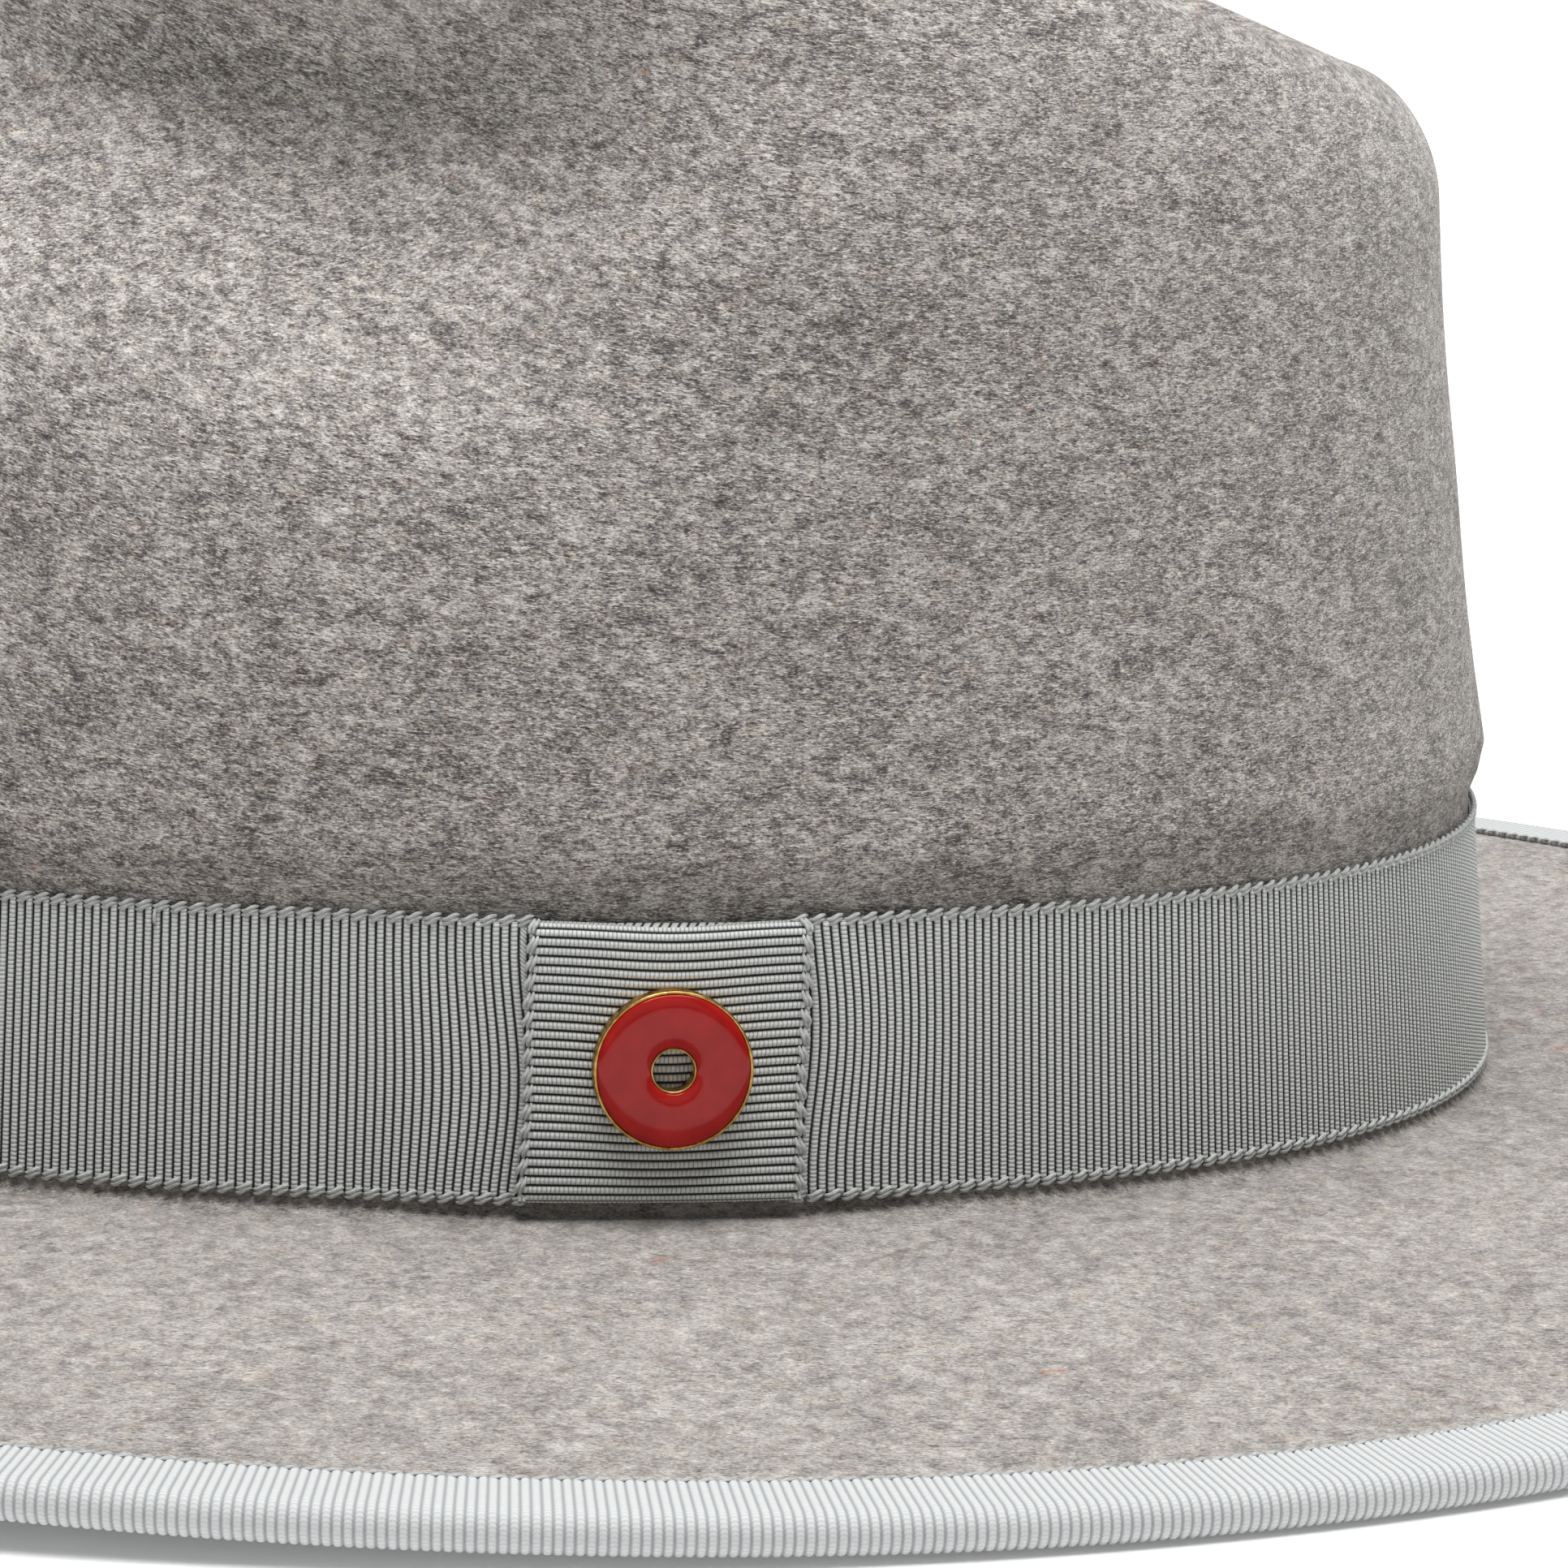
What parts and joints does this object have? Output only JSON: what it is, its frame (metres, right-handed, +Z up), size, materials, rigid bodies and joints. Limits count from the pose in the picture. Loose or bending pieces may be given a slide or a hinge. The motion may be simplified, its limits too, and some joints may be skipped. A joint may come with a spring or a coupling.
{
  "type": "felt fedora hat",
  "caption": "Soft felt fedora with a pinched teardrop crown, flat bound brim, ribbed ribbon band with a keeper loop and a small ring pin, lined and with a sweatband.",
  "frame": {"origin": "under the middle of the brim, on the surface that the hat stands on", "axes": "+Z up through the crown, +X to the wearer's left, where the keeper and the pin are, +Y to the back of the head"},
  "size_m": [0.3256, 0.3628, 0.1264],
  "materials": {
    "felt": "heather wool felt, soft short nap, matte",
    "band_ribbon": "ribbed grosgrain, grey, matte",
    "binding_ribbon": "ribbed grosgrain, pale grey, matte",
    "thread": "spun sewing thread",
    "lining": "satin lining",
    "sweatband_leather": "smooth hat leather, satin",
    "reed": "extruded plastic cord",
    "tape": "narrow woven tape",
    "tab_cloth": "plain woven tab, blank",
    "gilt_metal": "polished gilt",
    "clutch_metal": "plated, satin",
    "enamel": "glossy domed red enamel"
  },
  "bodies": {
    "hat": {"felt_body": "felt", "hatband": "band_ribbon", "hatband_keeper": "band_ribbon", "hatband_tacks": "thread", "brim_binding": "binding_ribbon", "binding_thread": "thread", "lining_tip": "lining", "lining_wall": "lining", "lining_thread": "thread", "sweatband": "sweatband_leather", "sweatband_reed": "reed", "reed_tape": "tape", "sweatband_thread": "thread", "sweatband_bow": "tape", "size_tab": "tab_cloth", "clutch_front": "clutch_metal", "clutch_rear": "clutch_metal"},
    "pin": {"pin_cup": "gilt_metal", "pin_enamel": "enamel", "pin_posts": "gilt_metal"}
  },
  "joints": [
    {"name": "pin_pull", "type": "slide", "parent": "hat", "child": "pin", "axis": [0.9861, 0.1492, 0.0733], "range_m": [0, 0.012]}
  ]
}
